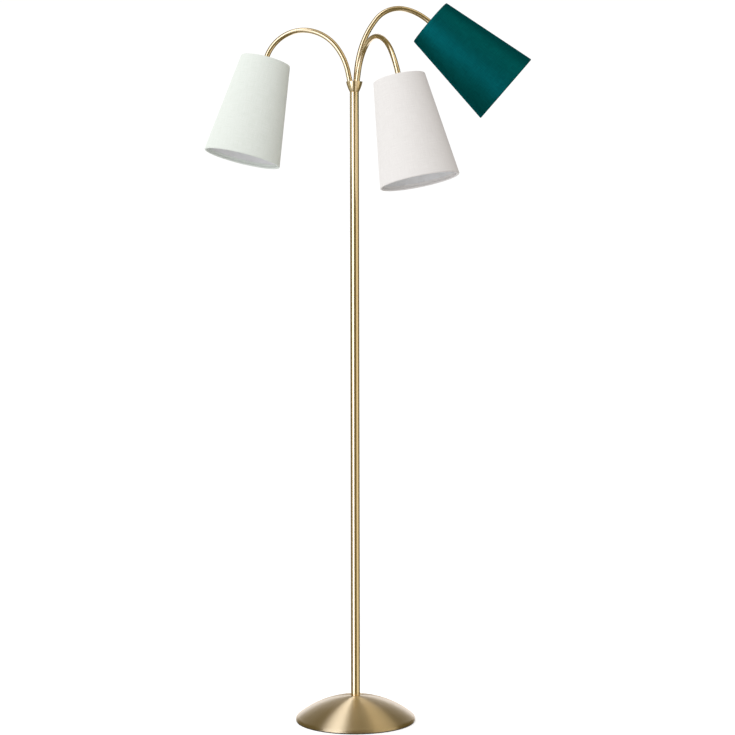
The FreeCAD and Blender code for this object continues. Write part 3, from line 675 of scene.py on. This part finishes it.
# %% [markdown]
# ### How the cloth lies on a cone
# A cone unrolls into a flat fan. The threads are straight in that fan, so they run down the
# shade at the front and slant more and more towards the seam. The cloth's UV map is that fan in
# metres: one function gives it from the angle round the cone and the distance from its tip.

# %% The cloth shades
COLUMNS = 176
# in mm: how far the strip laps and how thick the lap is, how far the wall is out of round in
# slow and in quick waves, and how far the turned-in cloth puckers and frays
CLOTH_LAP, LAP_STEP = 12.0, 0.35
SLOW_WAVE, QUICK_WAVE = 0.12, 0.08
PUCKER, PUCKERS_ROUND = 0.12, 84.0
FRAY, FINE_FRAY = 0.35, 0.2


def shade_columns(mean_radius):
    """Angles round the shade, from the seam at the back once round; close together at the lap."""
    even = np.linspace(-math.pi, math.pi, COLUMNS, endpoint=False)
    lap = [math.pi - CLOTH_LAP / mean_radius - 0.02, math.pi - CLOTH_LAP / mean_radius,
           math.pi - 0.004]
    return np.unique(np.round(np.concatenate([even, lap]), 5))


def make_shade(head, cloth, lining, seed):
    rng = np.random.default_rng(seed)
    top, bottom = head.top_radius / MM, head.bottom_radius / MM
    height = head.height / MM
    slant = math.hypot(height, bottom - top)
    sine, cosine = (bottom - top) / slant, height / slant
    corners, lined = shade_outline(slant)
    angles = shade_columns((top + bottom) / 2.0)
    waves = rng.uniform(0.0, 2.0 * math.pi, 4)
    path = np.cumsum([0.0] + [math.dist(a, b) for a, b in zip(corners, corners[1:])])
    outer_start = len(ROLL)
    on_path = path - path[outer_start] + corners[outer_start][0]
    points = np.empty((len(angles), len(corners), 3))
    uv = np.empty((len(angles) + 1, len(corners) + 1, 2))
    for column, angle in enumerate(list(angles) + [math.pi]):
        lapped = math.pi - CLOTH_LAP * 2.0 / (top + bottom) <= angle < math.pi
        lap = LAP_STEP if lapped else 0.0
        swell = (SLOW_WAVE * math.sin(3.0 * angle + waves[0])
                 + QUICK_WAVE * math.sin(7.0 * angle + waves[1]))
        for corner, (along, depth) in enumerate(corners):
            inside = depth > 1.05
            pucker = PUCKER * math.sin(PUCKERS_ROUND * angle + waves[2]) if inside else 0.0
            ragged = (FRAY * math.sin(11.0 * angle + waves[3])
                      + FINE_FRAY * math.sin(29.0 * angle))
            edge = min(along, slant - along)
            shift = ragged * (edge > 8.0 and inside) * (1.0 if along < slant / 2.0 else -1.0)
            taper = min(1.0, edge / 25.0)
            out = -depth + pucker * (edge > 3.0) + swell * taper + (lap if depth < 0.5 else 0.0)
            radius = top + (along + shift) * sine + out * cosine
            if column < len(angles):
                points[column, corner] = (radius * math.cos(angle) * MM,
                                          radius * math.sin(angle) * MM,
                                          ((along + shift) * cosine - out * sine) * MM)
            from_tip = top / sine + on_path[corner]
            uv[column, corner] = (from_tip * math.sin(angle * sine) * MM,
                                  from_tip * math.cos(angle * sine) * MM)
    uv[:, -1] = uv[:, 0]
    name = f"{head.side}_shade_cloth"
    mesh = ring_mesh(name, points, [1 if face else 0 for face in lined], uv)
    mesh.materials.append(cloth)
    mesh.materials.append(lining)
    mesh.transform(head.place)
    piece = link(name, mesh)
    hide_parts(f"{head.side}_shade")
    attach(piece, f"{head.side}_head")
    print(name, len(mesh.polygons), "faces, slant", round(slant, 1))
    return piece


# %% [markdown]
# ### Cloth and lining
# The cloth is a plain weave of about 22 threads to the centimetre. Two sine waves across
# each other give its relief, and they also paint the weave's hollows a little darker, as painted
# shade. Real yarn varies along its length, so long thin streaks of noise, one set for each
# direction, shift the tone a little. The two pale cloths are matt. The teal one is satin, whose
# threads shine in their own colour, as metal does, so part of its light is mixed in as metal.
# The lining is smooth stiff plastic with a faint fibre.

# %% Cloth finishes
THREAD = 0.45 * MM


def cloth(name, deep, plain, roughness, satin):
    """satin is the share of the light that the threads send back as a broad coloured shine."""
    finish = Finish(name, {"Metallic": satin, "Specular IOR Level": 0.0, "Specular Tint": plain})
    u, v, _ = finish.split(finish.add("ShaderNodeUVMap", {"uv_map": "cloth"}))
    weave = 0.5 + 0.5 * (u * (math.pi / THREAD)).sine() * (v * (math.pi / THREAD)).sine()
    warp = finish.noise(finish.join(u * 1500.0, v * 40.0, 0.0), 1.0, 2.0)
    weft = finish.noise(finish.join(u * 40.0, v * 1500.0, 7.0), 1.0, 2.0)
    slub = (warp + weft) * 0.5
    # the tone follows the yarn's streaks, and the weave adds painted shade in its hollows
    tone = finish.mix((slub + 0.15 * weave).rise(0.38, 0.78), deep, plain)
    finish.paint("Base Color", tone)
    finish.paint("Roughness", roughness + 0.2 * (slub - 0.5))
    finish.bump(weave * (0.6 + 0.8 * slub), 0.05 * MM)
    return finish.material


def lining():
    finish = Finish("shade_lining", {"Specular IOR Level": 0.3})
    place = finish.place()
    fibre = finish.noise(place, 900.0, 3.0)
    cloud = finish.noise(place, 14.0, 2.0)
    finish.paint("Base Color", finish.mix(0.5 * fibre + 0.5 * cloud, (0.82, 0.83, 0.85),
                                          (0.92, 0.925, 0.94)))
    finish.paint("Roughness", 0.5 + 0.15 * fibre)
    finish.bump(fibre, 0.03 * MM)
    return finish.material


white_lining = lining()
CLOTHS = {  # side: name, darker tone (yarn streaks, and painted shade in the weave's hollows), lighter tone, roughness, satin
    "left": ("mint_cloth", (0.815, 0.875, 0.82), (0.915, 0.965, 0.93), 0.8, 0.0),
    "front": ("white_cloth", (0.86, 0.84, 0.83), (0.945, 0.93, 0.92), 0.8, 0.0),
    "right": ("teal_cloth", (0.0008, 0.086, 0.091), (0.0024, 0.147, 0.152), 0.5, 0.65),
}
for number, (side, cloth_look) in enumerate(CLOTHS.items()):
    piece = make_shade(heads[side], cloth(*cloth_look), white_lining, seed=number + 1)

# %% [markdown]
# ## Lampholders
# Inside each shade the lampholder's skirt is threaded, and a ring with a ribbed edge screws up it
# to clamp the wire frame. Both are patterns that repeat, so both are Geometry Nodes trees: a
# thread is a thin round bar swept along a spiral, and the ribs are one small bar set on each
# point of a circle.

# %% Threads and grips
def thread_recipe():
    recipe = Recipe("thread", {"Radius": float, "Pitch": float, "Turns": float, "Bar": float,
                               "Finish": bpy.types.Material})
    radius, turns = recipe.size("Radius"), recipe.size("Turns")
    spiral = recipe.add("GeometryNodeCurveSpiral", {}, {
        "Resolution": 48, "Rotations": turns, "Start Radius": radius, "End Radius": radius,
        "Height": turns * recipe.size("Pitch")})
    bar = recipe.add("GeometryNodeCurvePrimitiveCircle", {"mode": "RADIUS"},
                     {"Resolution": 8, "Radius": recipe.size("Bar")})
    ridge = recipe.add("GeometryNodeCurveToMesh", {}, {"Curve": spiral, "Profile Curve": bar,
                                                       "Fill Caps": True})
    recipe.finish_with(recipe.add("GeometryNodeSetShadeSmooth", {}, {"Geometry": ridge}))
    return recipe


def grip_recipe():
    recipe = Recipe("grip", {"Radius": float, "Ribs": int, "Bar": float, "Height": float,
                             "Finish": bpy.types.Material})
    circle = recipe.add("GeometryNodeCurvePrimitiveCircle", {"mode": "RADIUS"},
                        {"Resolution": recipe.size("Ribs"), "Radius": recipe.size("Radius")})
    rib = recipe.add("GeometryNodeMeshCylinder", {}, {"Vertices": 8, "Radius": recipe.size("Bar"),
                                                      "Depth": recipe.size("Height")})
    ribs = recipe.add("GeometryNodeInstanceOnPoints", {}, {"Points": circle, "Instance": rib})
    recipe.finish_with(ribs)
    return recipe


threads, grips = thread_recipe(), grip_recipe()
empty_mesh = bpy.data.meshes.new("nothing")
for side, head in heads.items():
    body_depth, body_across = head.measure("lampholder_body")
    ring_depth, ring_across = head.measure("shade_ring")
    skirt_radius = body_across[body_depth > ring_depth.max()].max()
    free = body_depth.max() - ring_depth.max() - 2.0 * MM
    pitch = 2.0 * MM
    thread = threads.run(f"{side}_holder_thread", empty_mesh, {
        "Radius": skirt_radius, "Pitch": pitch, "Turns": free / pitch, "Bar": 0.5 * MM,
        "Finish": finishes["black_plastic"]})
    thread.transform(head.place @ Matrix.Translation((0.0, 0.0, ring_depth.max() + MM)))
    flange = ring_depth.min() + 1.2 * MM
    grip = grips.run(f"{side}_ring_grip", empty_mesh, {
        "Radius": ring_across.max(), "Ribs": 48, "Bar": 0.55 * MM, "Height": 2.0 * MM,
        "Finish": finishes["black_plastic"]})
    grip.transform(head.place @ Matrix.Translation((0.0, 0.0, flange)))
    for mesh in (thread, grip):
        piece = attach(link(mesh.name, mesh), f"{side}_head")
print("thread on a skirt of radius", round(skirt_radius / MM, 1), "over", round(free / MM, 1), "mm")

# %% [markdown]
# ## Studio
# The photograph is plain: a white background, a wide soft light from the left, and a weaker one
# from the right. Metal shows the room around it, so the room is painted on the world: by the
# direction of a ray, in degrees round from the camera's side and up from the horizon.
# It is painted twice. Metal mirrors panels with dark gaps between them, which draw the bands
# along the pole. Cloth gathers light from half the room at once, so it gets a plain slope from
# bright on the left to dim and warm on the right. Camera rays see white.

# %% The painted room
world = bpy.data.worlds.new("studio")
bpy.context.scene.world = world
world.use_nodes = True
room = NodeTree(world.node_tree)
room.tree.nodes.clear()
x = room.add("ShaderNodeSeparateXYZ", {}, {0: room.add("ShaderNodeTexCoord", output="Generated")})
y, z = x.also("Y"), x.also("Z")
DEGREES = 180.0 / math.pi
turn = x.math("ARCTAN2", x, y * -1.0) * DEGREES
lift = z.math("ARCSINE", z) * DEGREES
GAP_COLOUR, COOL_WHITE, WARM_WHITE = (1.0, 0.85, 0.42), (0.97, 1.06, 1.34), (1.0, 0.95, 0.84)


def tinted(strength, colour):
    """A colour for each strength, as one vector."""
    return room.add("ShaderNodeVectorMath", {"operation": "SCALE"}, {0: colour, "Scale": strength})


def lit(*panels):
    total = panels[0]
    for panel in panels[1:]:
        total = room.add("ShaderNodeVectorMath", {"operation": "ADD"}, {0: total, 1: panel})
    return total


walls = lift.rise(-45.0, -20.0) * (1.0 - lift.rise(58.0, 80.0))
left_panel = turn.band(-64.0, -25.0, 5.0) * walls
right_panel = turn.band(38.0, 88.0, 7.0) * walls
above = lift.band(52.0, 78.0, 8.0) * (1.0 - abs(turn).rise(45.0, 70.0))
backdrop = abs(turn).rise(150.0, 165.0) * (1.0 - lift.rise(30.0, 60.0))
mirrored = lit(tinted(0.16 + 0.1 * lift.rise(40.0, 80.0), GAP_COLOUR),
               tinted(left_panel * 2.1, COOL_WHITE),
               tinted(right_panel * 0.7, WARM_WHITE),
               tinted(above * 0.55, (1.0, 1.0, 1.05)),
               tinted(backdrop * 1.1, COOL_WHITE))
leftness = 1.0 - turn.rise(-20.0, 110.0) + turn.rise(120.0, 180.0)
openness = 0.5 + 0.5 * lift.rise(-80.0, 15.0)
soft = lit(tinted(0.33 * openness, (1.0, 0.90, 0.80)),
           tinted(0.81 * leftness * openness, (0.975, 1.0, 1.025)))
path = room.add("ShaderNodeLightPath", output="Is Camera Ray")
colour = room.add("ShaderNodeMix", {"data_type": "RGBA"},
                  {0: path.also("Is Glossy Ray"), 6: soft, 7: mirrored}, output=2)
colour = room.add("ShaderNodeMix", {"data_type": "RGBA"},
                  {0: path, 6: colour, 7: (1.05, 1.05, 1.05)}, output=2)
background = room.add("ShaderNodeBackground", {}, {"Color": colour, "Strength": 1.0})
room.add("ShaderNodeOutputWorld", {}, {0: background})

# %% [markdown]
# ### Floor
# The floor only has to catch the soft shadow. It fades into the white background well inside the
# picture, so it has no visible edge or horizon, and reflections look past it. It lies a hair
# below the pad, because two faces in one place would flicker.

# %% Floor that fades out
floor_mesh = bpy.data.meshes.new("studio_floor")
shape = bmesh.new()
bmesh.ops.create_circle(shape, cap_ends=True, segments=96, radius=1.2)
shape.to_mesh(floor_mesh)
shape.free()
floor = link("studio_floor", floor_mesh)
floor.location.z = -0.2 * MM
paper = Finish("paper", {"Roughness": 0.9, "Specular IOR Level": 0.0,
                         "Base Color": (0.9, 0.9, 0.9, 1.0), "Emission Strength": 1.0})
px, py, _ = paper.split(paper.place())
path = paper.add("ShaderNodeLightPath", output="Is Camera Ray")
distance = (px * px + py * py) ** 0.5
fade = distance.rise(0.3, 1.0)
paper.paint("Emission Color", paper.mix(path, (0.0, 0.0, 0.0), (0.42, 0.42, 0.42)))
clear = paper.add("ShaderNodeBsdfTransparent")
past = fade.math("MAXIMUM", fade, path.also("Is Glossy Ray"))
mixed = paper.add("ShaderNodeMixShader", {}, {0: past, 1: paper.shader.outputs[0], 2: clear})
output = paper.tree.nodes["Material Output"]
paper.feed(output.inputs["Surface"], mixed)
floor_mesh.materials.append(paper.material)

# %% [markdown]
# ### Camera
# The photograph was taken from about pole height with a long lens: upright lines stay nearly
# parallel, and the base shows as a flat ellipse. The camera stands in front, a little lower than
# the shades, and looks slightly down. The lens follows from the picture's width in pixels.

# %% The photograph's camera
FRAME_PIXELS = 735
FOCAL_PIXELS = 1830
camera_data = bpy.data.cameras.new("camera")
camera_data.sensor_fit = "HORIZONTAL"
camera_data.sensor_width = 36.0
camera_data.lens = 36.0 * FOCAL_PIXELS / FRAME_PIXELS
camera = bpy.data.objects.new("camera", camera_data)
bpy.context.scene.collection.objects.link(camera)
look_down, tilt = math.radians(2.73), math.radians(0.095)
camera.matrix_world = (Matrix.Translation((0.0262, -3.8, 0.921))
                       @ Matrix.Rotation(math.pi / 2.0 - look_down, 4, "X")
                       @ Matrix.Rotation(-tilt, 4, "Z"))
bpy.context.scene.camera = camera
bpy.context.scene.view_settings.view_transform = "Standard"
print("lens", round(camera_data.lens, 1), "mm")
